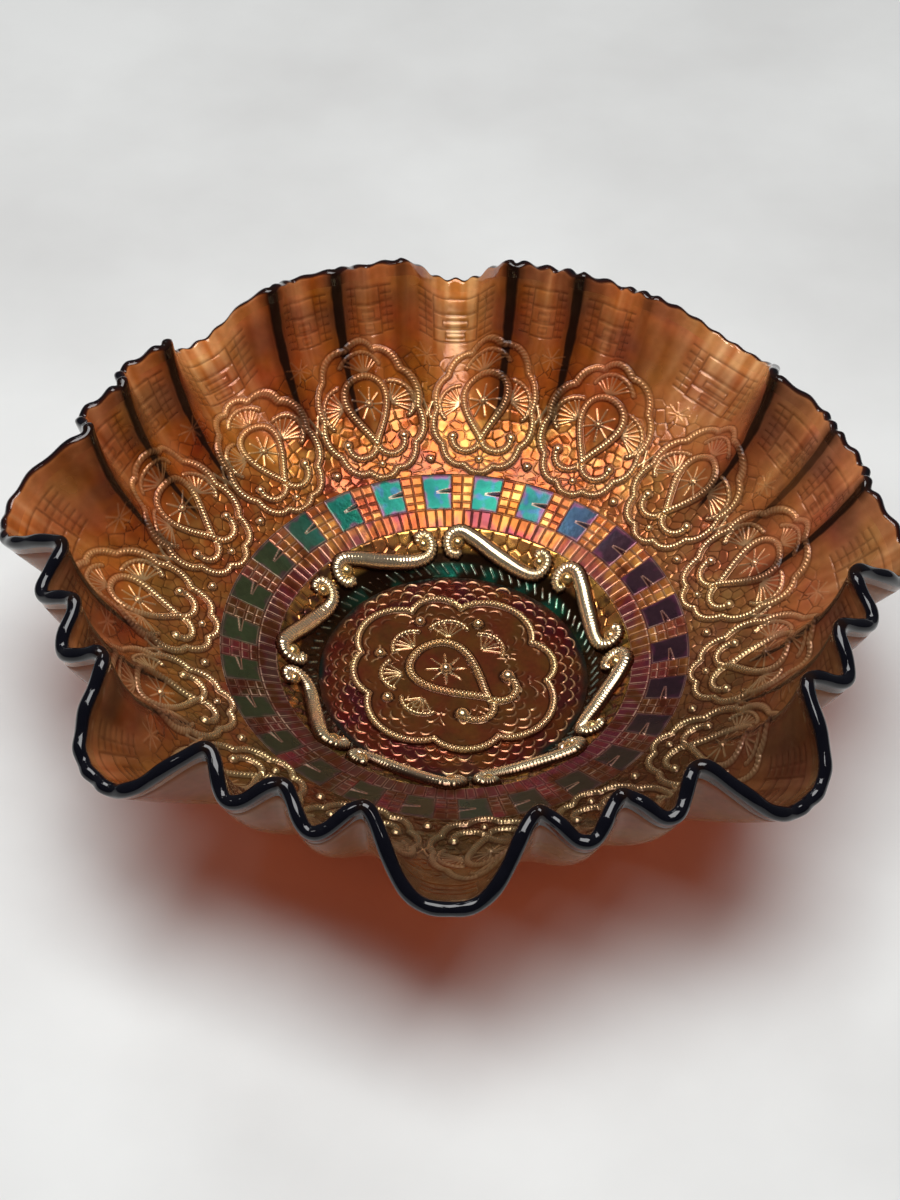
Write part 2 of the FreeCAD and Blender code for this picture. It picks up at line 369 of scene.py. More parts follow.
COVE_R, COVE_Z = 50.8, 18.3
BAND_R, BAND_Z = 66.8, 25.3
BAND_SLOPE = math.radians(24.0)
BAND_SIN, BAND_COS = math.sin(BAND_SLOPE), math.cos(BAND_SLOPE)
WALL_LENGTH, RIM_DEPTH = 66.5, 4.5
LOBE_SLOPE, FOLD_SLOPE, FOLD_EXTRA = 46.4, 86.0, 3.5
CUT = 1 - RIM_DEPTH / WALL_LENGTH

fold_at = np.array([
    FIRST_GROUP_BEARING + GROUP_PITCH * g + GROUP_SLIP[g] + (k - 1) * FOLD_PITCH
    for g in range(8) for k in range(3)
])
fold_deep = np.array(FOLD_DEPTH).ravel()
fold_dark = np.array(FOLD_DARK).ravel()


def crimp(bearing):
    """Fold depth, extra reach, share of a broad lobe, degrees to the nearest fold and its darkness."""
    t = fold_at[0] + (bearing - fold_at[0]) % 360
    i = np.clip(np.searchsorted(fold_at, t + 1e-9, side="right") - 1, 0, 23)
    left = fold_at[i]
    right = np.where(i == 23, fold_at[0] + 360, fold_at[(i + 1) % 24])
    x = (t - left) / (right - left)
    depth = mix(fold_deep[i], fold_deep[(i + 1) % 24], (1 - np.cos(np.pi * x)) / 2)
    broad = i % 3 == 2
    bump = (1 + np.cos(np.pi * np.where(broad, np.abs(2 * x - 1) ** BROAD_LOBE_POWER, 2 * x - 1))) / 2
    fold = np.where(broad, depth * (1 - bump), depth * (1 - SMALL_LOBE_DEPTH * bump))
    reach = np.where(broad, np.array(LOBE_REACH)[i // 3] * bump, 0)
    gap = np.minimum(t - left, right - t)
    strength = np.where(t - left < right - t, fold_dark[i], fold_dark[(i + 1) % 24])
    return fold, reach, broad * bump, gap, strength


def mid_wall(share, bearing):
    """Radius, height and slope of the wall's middle surface, which bends evenly from the band up."""
    fold, reach = crimp(bearing)[:2]
    end = np.radians(mix(LOBE_SLOPE, FOLD_SLOPE, fold))
    bend = (WALL_LENGTH + FOLD_EXTRA * fold + reach) / (end - BAND_SLOPE)
    slope = mix(BAND_SLOPE, end, share)
    radius = BAND_R + BAND_THICKNESS / 2 * BAND_SIN + bend * (np.sin(slope) - BAND_SIN)
    height = BAND_Z - BAND_THICKNESS / 2 * BAND_COS - bend * (np.cos(slope) - BAND_COS)
    return radius, height, slope


def wall_point(share, bearing, across):
    """A point of the wall, by share of the way up, bearing and distance inward of its middle."""
    share, bearing, across = np.broadcast_arrays(share, bearing, across)
    radius, height, slope = mid_wall(share, bearing)
    step = 0.05
    low_r, low_z, _ = mid_wall(share, bearing - step)
    high_r, high_z, _ = mid_wall(share, bearing + step)
    along = on_ring(high_r, bearing + step, high_z) - on_ring(low_r, bearing - step, low_z)
    upward = on_ring(np.cos(slope), bearing, np.sin(slope))
    inward = np.cross(along, upward)
    inward /= np.linalg.norm(inward, axis=-1, keepdims=True)
    return on_ring(radius, bearing, height) + inward * across[..., None]


def thickness(share):
    return mix(BAND_THICKNESS, EDGE_THICKNESS, share)


# ---- film colours (linear)
AMBER = (0.60, 0.140, 0.018)
DEEP = (0.27, 0.043, 0.004)
MILKY = (0.62, 0.25, 0.10)
GOLD = (0.80, 0.37, 0.09)
# gold paled towards white, painted on rope and bead crests as a highlight
ROPE_HIGHLIGHT_GOLD = mix(np.array(GOLD), np.array((0.95, 0.78, 0.48)), 0.6)
OLIVE = (0.19, 0.13, 0.035)
PURPLE = (0.14, 0.028, 0.042)
TEAL = (0.008, 0.115, 0.085)
BROWN = (0.10, 0.028, 0.012)
DARK = (0.012, 0.005, 0.003)
ORANGE = (0.50, 0.13, 0.022)

# ---- medallions on the wall
MEDALLIONS = 15
MEDALLION_PITCH = 360 / MEDALLIONS
FIRST_MEDALLION = 4.2
COLUMNS_EACH = 164
wall_bearing = FIRST_MEDALLION - MEDALLION_PITCH / 2 + bearings(MEDALLIONS * COLUMNS_EACH)
# the wall's mesh stops at the rim, after a hair-thin row that keeps its shading off the joint
WALL_TOP = WALL_LENGTH * CUT
JOINT_ROW = 0.03
wall_up = np.concatenate([np.arange(0, 46, 0.25), np.linspace(46, WALL_TOP, 34)])
wall_up = np.insert(wall_up, -1, WALL_TOP - JOINT_ROW)


def width_at(up):
    """Millimetres to a degree, a distance up the wall."""
    return (BAND_R + 0.7 + 0.62 * up) * math.pi / 180


def on_wall(points):
    p = np.array(points, float)
    return np.stack([p[:, 0] * width_at(p[:, 1]), p[:, 1]], -1)


# One medallion, in millimetres from its middle line and up the wall: a lobed frame round a plain drop.
FRAME_MIDDLE = 22.2
DROP_MIDDLE = 22.5
STAR_UP = 24.4
CURL_UP = 12.4
CURL_RADIUS = 4.3
ROSETTE_UP = 5.4


def medallion_tile(angle, up):
    x = angle * width_at(up)
    relief = Relief(x, up)
    outline = lobed_oval(15.4, 21.4, 10, 0.09) + (0, FRAME_MIDDLE)
    within = inside_line(x, up, outline)
    seeds = []
    pitch = 3.7
    local = np.random.default_rng(5)
    for row in range(-1, 16):
        for k in range(-7, 8):
            sx = (k + 0.5 * (row % 2)) * pitch + local.uniform(-1.1, 1.1)
            seeds.append((sx * (1 + row * 0.015), row * 3.2 + local.uniform(-1.1, 1.1)))
    # leafy cells round each medallion and in its lower half, fading out up the wall
    outside = (1 - within) * between(0.0, 0.8, 36, 44, up)
    drop = teardrop(6.2, 21.0) + (0, DROP_MIDDLE)
    in_drop = inside_line(x, up, drop)
    leaves = within * (1 - in_drop) * (1 - 0.55 * ease(20, 34, up))
    relief.cells(seeds, outside, deep=0.36, lean=0.06)
    inner_seeds = [(sx * 0.9 + 1.1, sy + 1.0) for sx, sy in seeds]
    relief.cells(inner_seeds, leaves, deep=0.32, lean=0.06, salt=2)
    # petals round the low bead
    petal = within * (np.hypot(x, up - ROSETTE_UP) < 4.2)
    relief.height = np.where(petal > 0, 0.12, relief.height)
    relief.groove = np.where(petal > 0, 0, relief.groove)
    for k in range(9):
        a = math.radians(20 + 40 * k)
        ends = [[r * math.sin(a), ROSETTE_UP + r * math.cos(a)] for r in (1.3, 4.2)]
        relief.cut(np.array(ends), half=0.22, deep=0.28)
    fade = 1 - 0.35 * ease(22, 38, up)
    # the drop's floor with its star, three equal fans round it and two curls under it
    relief.height = np.where(in_drop > 0, 0.05, relief.height)
    relief.groove = np.where(in_drop > 0, 0, relief.groove)
    relief.star(0, STAR_UP, 9, 1.2, 4.6, turn=10, flat=1.1)
    for hub, heading in (((-6.9, 24.2), -72), ((6.9, 24.2), 72), ((0.0, 33.6), 0)):
        relief.fan(np.array(hub), heading, 6.6, spread=64, veins=8, fade=fade)
    cord = {"half": 0.98, "tall": 1.25, "pitch": 1.0, "twist": 0.27, "fade": fade}
    for side in (-1, 1):
        relief.rope(curl_line(0, CURL_UP, CURL_RADIUS, side), **cord)
        relief.bead(side * 2 * CURL_RADIUS, CURL_UP + 0.9, 1.4, 1.4)
    relief.rope(drop, **cord)
    relief.rope(np.vstack([outline, outline[:1]]), **cord)
    for middle_up in (ROSETTE_UP, STAR_UP):
        relief.bead(0, middle_up, 1.1, 1.1)
    for a in (-12, 12):
        bx, by = on_wall([(a, 5.2)])[0]
        relief.bead(bx, by, 1.3, 1.3)
        bx, by = on_wall([(a, 39.0)])[0]
        relief.star(bx, by, 8, 0.4, 3.4, turn=20, half=0.26, tall=0.18)
        # bound stems where two medallions meet
        for lean in (-1, 1):
            stem = on_wall([(a - 0.9 * lean, 18.0), (a - 0.2 * lean, 21.0), (a - 1.0 * lean, 24.5)])
            relief.ridge(flow(stem), 0.4, 0.5)
    return relief, within


angle, up = np.meshgrid(
    -MEDALLION_PITCH / 2 + np.arange(COLUMNS_EACH) * MEDALLION_PITCH / COLUMNS_EACH, wall_up
)
tile, within = medallion_tile(angle, up)
height, crest, groove, tone, within = (
    np.tile(field, MEDALLIONS) for field in (tile.height, tile.crest, tile.groove, tile.tone, within)
)

bearing, up = np.meshgrid(wall_bearing, wall_up)
fold, _, broad, fold_gap, fold_strength = crimp(wall_bearing)

# nested bricks near the edge: a wide panel in each broad lobe, short courses in the small ones
upper = Relief(np.zeros(bearing.shape), up)


def panel(middle, scale):
    """Grooves of one panel: three stacked frames and a ladder of short courses on each side."""
    off = (bearing - middle + 180) % 360 - 180
    upper.x = np.where(np.abs(off) < 14, off * 1.85 / scale, 99.0)
    for low, high, half in (
        (45.2, 49.4, 7.6), (49.4, 54.4, 7.6), (54.4, 59.6, 7.6), (50.3, 52.4, 4.2), (46.4, 48.2, 3.2)
    ):
        frame_line = np.array([(-half, low), (half, low), (half, high), (-half, high), (-half, low)])
        upper.cut(frame_line, half=0.34, deep=0.24)
    for side in (-1, 1):
        for k in range(7):
            s = 45.6 + 2.3 * k
            upper.cut(np.array([(side * 8.4, s), (side * 12.6, s + 0.2)]), half=0.30, deep=0.20)
        upper.cut(np.array([(side * 10.4, 45.6), (side * 10.4, 59.4)]), half=0.24, deep=0.10)


# folds come in threes, so the gap after each third one is a broad lobe
fold_ends = np.append(fold_at, fold_at[0] + 360)
for k in range(24):
    panel((fold_ends[k] + fold_ends[k + 1]) / 2, 1.0 if k % 3 == 2 else 0.62)
height = height + upper.height
groove = np.maximum(groove, upper.groove * 0.62)

settle = between(0.0, 0.7, WALL_TOP - 1.2, WALL_TOP, up)
share = up / WALL_LENGTH
ripple = 0.10 * waves(bearing * 1.5, up, 18, 3) * (1 - ease(44, 60, up))
front = wall_point(share, bearing, thickness(share) / 2 + (height + ripple) * settle)
back_share = np.linspace(0, CUT, 26)[:, None]
back = wall_point(back_share, wall_bearing[None, :], -thickness(back_share) / 2)

mottle = waves(bearing * 1.5, up, 22, 21)
mottle2 = waves(bearing * 1.5, up, 9, 22)
streak = waves(bearing * 3.2, up * 0.30, 9, 23)
# painted light: a share of light by bearing, 1 at the back and 0 at the front, by which the film below
# is painted brighter and more golden, or deeper and more olive
bearing_light = 0.5 + 0.5 * cosine(bearing - 12)
low_zone = 1 - ease(16, 34, up)
film = paint(
    tint(AMBER, bearing.shape),
    (DEEP, 0.9 * between(12, 26, 46, 64, up) * fold * (1.05 - 0.5 * bearing_light + 0.3 * mottle)),
    (MILKY, 0.42 * ease(32, 58, up) * (0.7 + 0.5 * streak)),
    # painted highlight: gold, then pale gold, on the broad lobes, strongest towards the back
    (GOLD, 0.40 * broad * ease(14, 34, up) * bearing_light ** 2 * (0.85 + 0.3 * mottle2)),
    ((0.90, 0.55, 0.24), 0.44 * broad ** 2 * ease(30, 50, up) * bearing_light * (0.6 + 0.7 * streak)),
    ((0.27, 0.105, 0.055), 0.62 * (1 - broad) * ease(36, 54, up) * ease(-0.5, 0.7, mottle)),
    ((0.56, 0.135, 0.014),
     0.65 * (1 - broad) * between(14, 26, 40, 56, up) * ease(-0.7, 0.5, -mottle2)),
    (ORANGE, 0.75 * low_zone * (0.75 + 0.4 * mottle)),
    (GOLD, 0.60 * low_zone * ease(-0.3, 0.8, mottle2 + 0.2 * tone) * (0.3 + 0.7 * bearing_light)),
    ((0.13, 0.026, 0.030), 0.4 * low_zone * ease(0.1, 0.8, -mottle) * (1 - 0.7 * within)),
    # painted shade: the low zone turns olive, and the wall a darker brown, on the sides away from the
    # light
    (OLIVE, 0.85 * low_zone * (1 - bearing_light) * (0.8 + 0.4 * mottle)),
    ((0.14, 0.062, 0.024), 0.6 * ease(0.62, 0.15, bearing_light) * (0.85 + 0.3 * mottle)),
    ((0.25, 0.045, 0.030), 0.40 * (1 - ease(4, 14, up)) * ease(-0.3, 0.6, mottle2 - mottle)),
    ((0.42, 0.22, 0.13), 0.28 * ease(0.35, 0.95, sine(bearing))),
)
# painted shade: the inside of the front of the wall is painted darker, with dimmer crest highlights and
# less clear glass
out_of_front_shade = ease(-0.98, 0.05, cosine(bearing + 20))
film = film * (1 + 0.10 * tone + 0.12 * streak)[..., None] * (0.24 + 0.76 * out_of_front_shade)[..., None]
# painted shade: the low wall painted darker towards the back, where the lamp's reflection falls
film = film * (1 - 0.25 * low_zone * bearing_light ** 2)[..., None]
film = paint(
    film,
    # dark in cuts and cracks, and painted shade round ropes and beads
    ((0.045, 0.011, 0.004), 0.88 * groove),
    # painted highlight: pale gold on the crests, dimmer higher up and at the front
    (ROPE_HIGHLIGHT_GOLD, 0.88 * crest * (0.5 + 0.5 * low_zone) * (0.5 + 0.5 * out_of_front_shade)),
    # painted highlight: paler down the middle of each small lobe, high up
    ((0.72, 0.30, 0.11),
     0.50 * ease(2.0, 5.2, fold_gap) * ease(24, 46, up) * (1 - broad) * (0.7 + 0.4 * streak)
     * out_of_front_shade),
)
fold_mm = fold_gap * width_at(up)
# painted shade: a soft dark brown either side of each strong fold
fold_shade = (1 - ease(0.8, 3.6, fold_mm)) * ease(14, 24, up) * fold_strength
film = lay(film, (0.09, 0.020, 0.005), 0.6 * fold_shade)
fold_half = 0.25 + 0.6 * ease(18, 52, up) + 0.1 * mottle2
fold_line = (1 - ease(fold_half, fold_half + 0.6, fold_mm)) * ease(16, 22, up) * fold_strength
fold_line = fold_line * (1 - 0.7 * crest)
film = lay(film, DARK, 0.97 * fold_line)
metal = np.clip(0.08 + 0.42 * low_zone + 0.4 * crest - 0.8 * fold_line, 0, 0.9)
clear = np.clip(0.45 - 0.45 * low_zone - 0.4 * crest - 0.9 * fold_line, 0, 1)
clear = clear * (1 - ease(56, 61, up)) * out_of_front_shade
top_film, top_metal, top_clear = film[-1], metal[-1], clear[-1]
bowl_wall = shell(
    "bowl_wall_lustre", front, back, film, {"metal": metal, "clear": clear},
    back_film=(0.30, 0.110, 0.045), back_clear=0.15,
)

# ---- brick band
PERIODS = 26
PERIOD = 360 / PERIODS
FIRST_GRID = -16.4
GRID = 5.9
BRICK_TOP, GRID_TOP = 56.3, 66.5
grid_row = (BRICK_TOP, 58.5, 61.0, 63.8, GRID_TOP)
band_bearing = FIRST_GRID + bearings(PERIODS * 80)
band_radius = np.linspace(COVE_R, BAND_R, 66)
bearing, radius = np.meshgrid(band_bearing, band_radius)
arc = math.radians(1) * radius
place = (bearing - FIRST_GRID) % PERIOD


def to_nearest(value, lines):
    return np.min([np.abs(value - line) for line in lines], axis=0)


outer_zone = radius > BRICK_TOP
BRICKS = 120
brick_edges = np.cumsum(rng.uniform(2.5, 3.5, BRICKS))
brick_edges *= 360 / brick_edges[-1]
turn = (bearing - FIRST_GRID) % 360
brick = np.searchsorted(brick_edges, turn)
left_edge = np.insert(brick_edges, 0, 0)[brick]
right_edge = np.append(brick_edges, 360)[np.clip(brick, 0, BRICKS - 1)]
joint = np.minimum(turn - left_edge, right_edge - turn) * arc
joint = np.where(outer_zone, 9.0, joint)
joint = np.minimum(joint, to_nearest(radius, (50.7, BRICK_TOP)))
in_grid = outer_zone & (place < GRID)
grid_joint = np.minimum(to_nearest(place, (0.0, GRID / 2, GRID)) * arc, to_nearest(radius, grid_row))
joint = np.where(in_grid, np.minimum(joint, grid_joint), joint)
in_square = outer_zone & (place >= GRID)
from_grid = (PERIOD - place) * arc
square_edge = np.minimum((place - GRID) * arc, from_grid)
square_edge = np.minimum(square_edge, to_nearest(radius, (BRICK_TOP, GRID_TOP)))
joint = np.where(in_square, np.minimum(joint, square_edge * 1.2), joint)
groove = hump(joint, 0, 0.13)
# a spear lies across each square, from the next grid's edge
SPEAR_HALF, SPEAR_LENGTH, SPEAR_R = 0.62, 4.9, 61.9
spear_half = SPEAR_HALF * np.clip(1 - from_grid / SPEAR_LENGTH, 0, 1)
spear_off = np.abs(radius - SPEAR_R + 0.10 * from_grid)
spear = in_square * np.clip(1 - spear_off / np.maximum(spear_half, 1e-3), 0, 1) * (spear_half > 0.02)
# painted highlight: a thin pale line round each spear
spear_highlight = in_square * hump(spear_off, spear_half + 0.15, 0.13) * (from_grid < 4.8)
dome = ease(0, 0.6, joint) * np.where(in_square, 0.03, 0.12)
height = dome - 0.22 * groove + 0.5 * np.sqrt(np.clip(spear, 0, 1)) * (spear_half / SPEAR_HALF) ** 0.5
settle = between(COVE_R, COVE_R + 0.5, BAND_R - 0.5, BAND_R, radius)


def band_skin(radius, bearing, lift):
    """A place on the band, lifted square to its slope."""
    line_z = mix(COVE_Z, BAND_Z, (radius - COVE_R) / (BAND_R - COVE_R))
    return on_ring(radius - BAND_SIN * lift, bearing, line_z + BAND_COS * lift)


front = band_skin(radius, bearing, height * settle)
back = band_skin(np.linspace(COVE_R, BAND_R, 6)[:, None], band_bearing[None, :], -BAND_THICKNESS)

x, y = plan(radius, bearing)
mottle = waves(x, y, 26, 31)
mottle2 = waves(x, y, 9, 32)
brick_tone = rng.uniform(0, 1, 400)
tone = brick_tone[brick % 400]
cell = np.floor(turn / PERIOD).astype(int) * 8 + (place > GRID / 2) * 4
cell = (cell + np.searchsorted(grid_row, radius)) % 400
tone = np.where(in_grid, brick_tone[cell], tone)
side = (bearing + 180) % 360 - 180
# painted light: lit is a share of light by bearing; the film is painted warmer and brighter where lit,
# and its hues shift with bearing as a painted sheen
lit = ease(-0.35, 1.0, cosine(side - 14))
film = paint(
    tint(BROWN, bearing.shape),
    (ORANGE, 0.95 * lit * (0.8 + 0.4 * mottle2)),
    (GOLD, 0.8 * lit * ease(0.2, 0.9, tone) * (0.6 + 0.5 * mottle2)),
    ((0.24, 0.032, 0.045), 0.70 * ease(-0.2, 0.7, mottle + 0.4 * mottle2) * (1 - 0.6 * lit * in_grid)),
    (PURPLE, (~outer_zone) * 0.8 * ease(0.1, 0.9, 0.6 - 0.25 * lit + 0.6 * mottle2)),
    ((0.05, 0.055, 0.025), 0.45 * ease(40, 100, -side) * ease(-0.4, 0.6, mottle2)),
)
# painted sheen: the squares' hue shifts with bearing, bluer at the back
blue_green = paint(
    tint(TEAL, bearing.shape),
    ((0.030, 0.060, 0.10), between(14, 34, 110, 150, side)),
    ((0.050, 0.014, 0.018), between(34, 50, 150, 178, side) * 0.85),
    ((0.070, 0.075, 0.030), ease(34, 66, -side) * 0.9),
    ((0.045, 0.040, 0.025), ease(90, 150, np.abs(side)) * 0.8),
)
blotch = waves(x, y, 5, 33)
near_back = 1 - ease(16, 40, np.abs(side))
blue_green = lay(blue_green, (0.035, 0.075, 0.19), 0.6 * ease(0.1, 0.9, blotch) * near_back)
halo = in_square * (1 - ease(-0.2, 1.2, square_edge - 0.7 * blotch))
square_film = lay(blue_green, (0.17, 0.035, 0.085), 0.75 * halo * (0.3 + 0.7 * lit))
film = np.where(in_square[..., None], square_film, film)
film = lay(film, (0.035, 0.008, 0.006), 0.85 * groove)
# painted highlight: a thin bright line beside each joint, on the sides of the band
joint_highlight = hump(joint, 0.32, 0.09) * ease(18, 45, np.abs(side))
joint_highlight = joint_highlight * (1 - 0.6 * ease(110, 150, np.abs(side)))
film = paint(
    film,
    ((0.80, 0.50, 0.34), 0.65 * joint_highlight * (0.7 + 0.5 * mottle2)),
    ((0.045, 0.014, 0.012), 0.9 * spear),
    ((0.70, 0.36, 0.26), 0.7 * spear_highlight),
)
brick_band = shell(
    "brick_band_lustre", front, back, film, {"metal": 0.62 - 0.3 * groove, "clear": 0 * groove},
    back_film=(0.11, 0.034, 0.010), back_clear=0.35,
)

# ---- cove that carries the scrolls
cove_bearing = bearings(1440)
# two straight runs that meet at the crest
cove_line = np.vstack([
    np.linspace((FLOOR_R, FLOOR_Z), (CREST_R - 0.4, CREST_Z - 0.3), 26),
    np.linspace((CREST_R, CREST_Z + 0.05), (COVE_R, COVE_Z), 27),
])
bearing, row = np.meshgrid(cove_bearing, np.arange(len(cove_line)))
radius, base_z = cove_line[row, 0], cove_line[row, 1]
x, y = plan(radius, bearing)
MM_PER_DEGREE = math.radians(47.5)
relief = Relief(bearing * MM_PER_DEGREE, radius)
seeds = []
TEETH = 76
for k in range(TEETH + 2):
    for r, offset in ((46.0, 0.0), (49.2, 0.5)):
        jitter = rng.uniform(-0.2, 0.2, 2) if 1 < k < TEETH else (0.0, 0.0)
        seeds.append(((k - 0.5 + offset + jitter[0]) * 360 / TEETH * MM_PER_DEGREE, r + jitter[1]))
top_fade = 1 - ease(COVE_R - 0.5, COVE_R, radius)
cell_mask = ease(45.4, 46.0, radius) * top_fade
relief.cells(seeds, cell_mask, deep=0.40, lean=0.06)
settle = ease(FLOOR_R, FLOOR_R + 0.6, radius) * top_fade
turn = (bearing + 1.3 * (radius - 40)) / 4.0
tick = hump(turn - np.round(turn), 0, 0.075) * (1 - ease(0.9, 1.2, np.abs(radius - 40.9)))
height = (relief.height + 0.5 * tick + 0.06 * waves(x, y, 8, 41)) * settle
tilt = math.radians(39)
front = on_ring(radius - math.sin(tilt) * height, bearing, base_z + math.cos(tilt) * height)
band_foot = (COVE_R + BAND_THICKNESS * BAND_SIN, COVE_Z - BAND_THICKNESS * BAND_COS)
back_line = np.array([(FLOOR_R, COLLAR_TOP), (COLLAR_R, COLLAR_TOP), (49.4, 10.4), band_foot])[..., None]
back = on_ring(back_line[:, 0], cove_bearing[None, :], back_line[:, 1])
mottle = waves(x, y, 12, 42)
mottle2 = waves(x, y, 5, 43)
# painted light: lit is a share of light by bearing; the cove is painted teal and gold where lit
lit = ease(-0.3, 1.0, cosine(bearing - 10))
patch = ease(44.4, 46.4, radius)
film = paint(
    tint((0.030, 0.012, 0.005), bearing.shape),
    # painted sheen: teal on the lit back of the cove, low down
    ((0.015, 0.17, 0.105), lit ** 3 * (1 - ease(40.6, 43.0, radius)) * ease(-0.6, 0.6, mottle)),
    # painted highlight: pale on the ticks
    ((0.40, 0.48, 0.38), 0.85 * tick * ease(-0.8, 0.1, mottle2)),
    (mix(np.array(BROWN), np.array(OLIVE), 0.6), 0.9 * patch),
    (GOLD, patch * ease(0.0, 1.0, 0.15 + 0.7 * lit + 0.3 * mottle2 + 0.35 * relief.tone)),
    (PURPLE, 0.6 * patch * ease(0.1, 0.8, -mottle2) * (1 - 0.6 * lit)),
    (DARK, 0.9 * relief.groove),
)
ones = np.ones(bearing.shape)
scroll_ring = shell(
    "scroll_ring_glass", front, back, film, {"metal": 0.78 * ones, "clear": 0 * ones},
    back_film=(0.09, 0.028, 0.009), back_clear=0.2,
)

# ---- the eight scrolls
# one scroll's middle line: degrees from its start, and radius
SCROLL_LINE = [
    (4.0, 45.4), (2.4, 44.2), (0.0, 44.6), (-1.1, 46.6), (0.2, 48.8), (3.8, 49.6), (9.0, 48.0),
    (16.0, 45.6), (24.0, 43.9), (31.0, 43.2), (36.0, 44.0), (37.8, 46.4), (36.4, 48.6), (33.6, 48.8),
    (32.6, 47.0),
]


def cove_height(radius):
    return np.interp(radius, (FLOOR_R, CREST_R, COVE_R), (FLOOR_Z, CREST_Z, COVE_Z))


SCROLL_SIDES = 20
around = np.linspace(0, 2 * math.pi, SCROLL_SIDES, endpoint=False)


def scroll_rings(start):
    """Rings of one scroll: a fat cord with a curled, ribbed head and tail."""
    p = flow(SCROLL_LINE, steps=18)
    share = np.linspace(0, 1, len(p))
    radius = p[:, 1]
    body = 1.85 + 1.0 * hump(share, 0.50, 0.21)
    path = on_ring(radius, start + p[:, 0], cove_height(radius) + 0.25)
    ahead = np.gradient(path, axis=0)
    ahead /= np.linalg.norm(ahead, axis=1, keepdims=True)
    up = np.array([0, 0, 1.0]) + on_ring(-0.7, start + p[:, 0], 0.0)
    across = np.cross(ahead, up)
    across /= np.linalg.norm(across, axis=1, keepdims=True)
    up = np.cross(across, ahead)
    length = np.concatenate([[0], np.cumsum(np.linalg.norm(np.diff(path, axis=0), axis=1))])
    ribs = 1 + 0.11 * np.cos(2 * math.pi * length / 1.05) * (1 - 0.85 * hump(share, 0.45, 0.22))
    close = np.sqrt(np.clip(np.minimum(length, length[-1] - length) / 2.0, 0.02, 1))
    size = body * ribs * close
    c, s = np.cos(around)[:, None], np.sin(around)[:, None]
    return path[:, None] + size[:, None, None] * (c * across[:, None] + s * up[:, None])


FIRST_SCROLL = 42.0
starts = [FIRST_SCROLL + 45.0 * k for k in range(8)]
pieces = []
for start in starts:
    ring = scroll_rings(start)
    # painted light: each scroll's top painted pale as a highlight, its sides dark as in shade
    lit = np.broadcast_to(ease(0.50, 1.0, np.sin(around)), ring.shape[:2])
    film = lay(tint((0.060, 0.015, 0.005), ring.shape[:2]), (0.95, 0.76, 0.48), 0.95 * lit)
    pieces.append((ring, film))
# a ball in each curled end: how far round it is, its radius and its size
polar = np.linspace(0.12, math.pi - 0.12, 12)[:, None]
ball = on_ring(np.sin(polar), 90 - np.degrees(around), np.cos(polar))
for start in starts:
    for turn, radius, size in ((2.6, 46.7, 2.2), (34.7, 46.6, 2.0)):
        centre = on_ring(radius, start + turn, cove_height(radius) + 0.6)
        pieces.append((centre + ball * size, tint((0.72, 0.48, 0.20), ball.shape[:2])))
parts = []
for index, (ring, film) in enumerate(pieces):
    ones = np.ones(ring.shape[:2])
    fields = {"metal": 0.85 * ones, "clear": 0 * ones}
    parts.append(ring_mesh(f"scroll_part_{index}", ring, film, fields, loop=False))
with bpy.context.temp_override(
    active_object=parts[0], selected_editable_objects=parts, selected_objects=parts
):
    bpy.ops.object.join()
scrolls = parts[0]
scrolls.name = scrolls.data.name = "scrolls_gold"

# ---- floor with its scales
floor_bearing = bearings(1080)
floor_radius = np.concatenate([np.linspace(0.5, 24, 14), np.arange(24.3, 38.95, 0.19), [FLOOR_R]])
bearing, radius = np.meshgrid(floor_bearing, floor_radius)


def scales(bearing, radius, outer, pitch, count):
    """Rings of short crescents, bowed outward. Returns their crests and a painted shade line inside
    each.
    """
    depth = (outer - radius) / pitch
    crest, shade = np.zeros(bearing.shape), np.zeros(bearing.shape)
    for ahead in (0, 1):
        row = np.floor(depth) + ahead
        place = bearing / 360 * count + 0.5 * (row % 2)
        across = place % 1 - 0.5
        own = np.sin((np.floor(place) % count) * 12.9 + row * 78.2) * 43758.5
        own = own - np.floor(own)
        off = depth - row + 0.60 * (1 - (2 * across) ** 2) + (own - 0.5) * (0.46 + 0.40 * across)
        length = 1 - ease(0.24 + 0.16 * own, 0.38 + 0.16 * own, np.abs(across))
        crest = np.maximum(crest, hump(off, 0, 0.09) * length * (0.12 + 0.88 * own ** 1.5))
        shade = np.maximum(shade, hump(off, 0.22, 0.12) * length)
    return crest, shade


SCALES_END = 38.4
scale, lip = scales(bearing, radius, SCALES_END, 2.5, 48)
x, y = plan(radius, bearing)
settle = between(23, 25, SCALES_END, FLOOR_R, radius)
height = (0.42 * scale - 0.08 * lip + 0.04 * waves(x, y, 6, 51)) * settle
front = on_ring(radius, bearing, FLOOR_Z + height)
mottle = waves(x, y, 14, 52)
film = paint(
    tint((0.17, 0.034, 0.012), bearing.shape),
    ((0.090, 0.013, 0.020), 0.7 * ease(-0.3, 0.7, mottle)),
    ((0.008, 0.030, 0.022), 0.8 * ease(36.6, 38.6, radius) * (0.8 + 0.3 * mottle)),
    # painted shade behind each scale, and a painted highlight on its crest
    (DARK, 0.6 * lip * settle),
    ((0.90, 0.50, 0.27), 0.9 * scale * settle),
)
back = on_ring(np.array([FLOOR_R, 20.0, 0.5])[:, None], floor_bearing[None, :], COLLAR_TOP)
rings = np.concatenate([front, back])
colours = np.concatenate([film, tint((0.06, 0.018, 0.006), back.shape[:2])])
metal = np.concatenate([np.full(front.shape[:2], 0.72), np.zeros(back.shape[:2])])
bowl_floor = ring_mesh(
    "bowl_floor_glass", rings, colours, {"metal": metal, "clear": 0 * metal}, loop=False,
    hard=(len(front) - 1,),
)

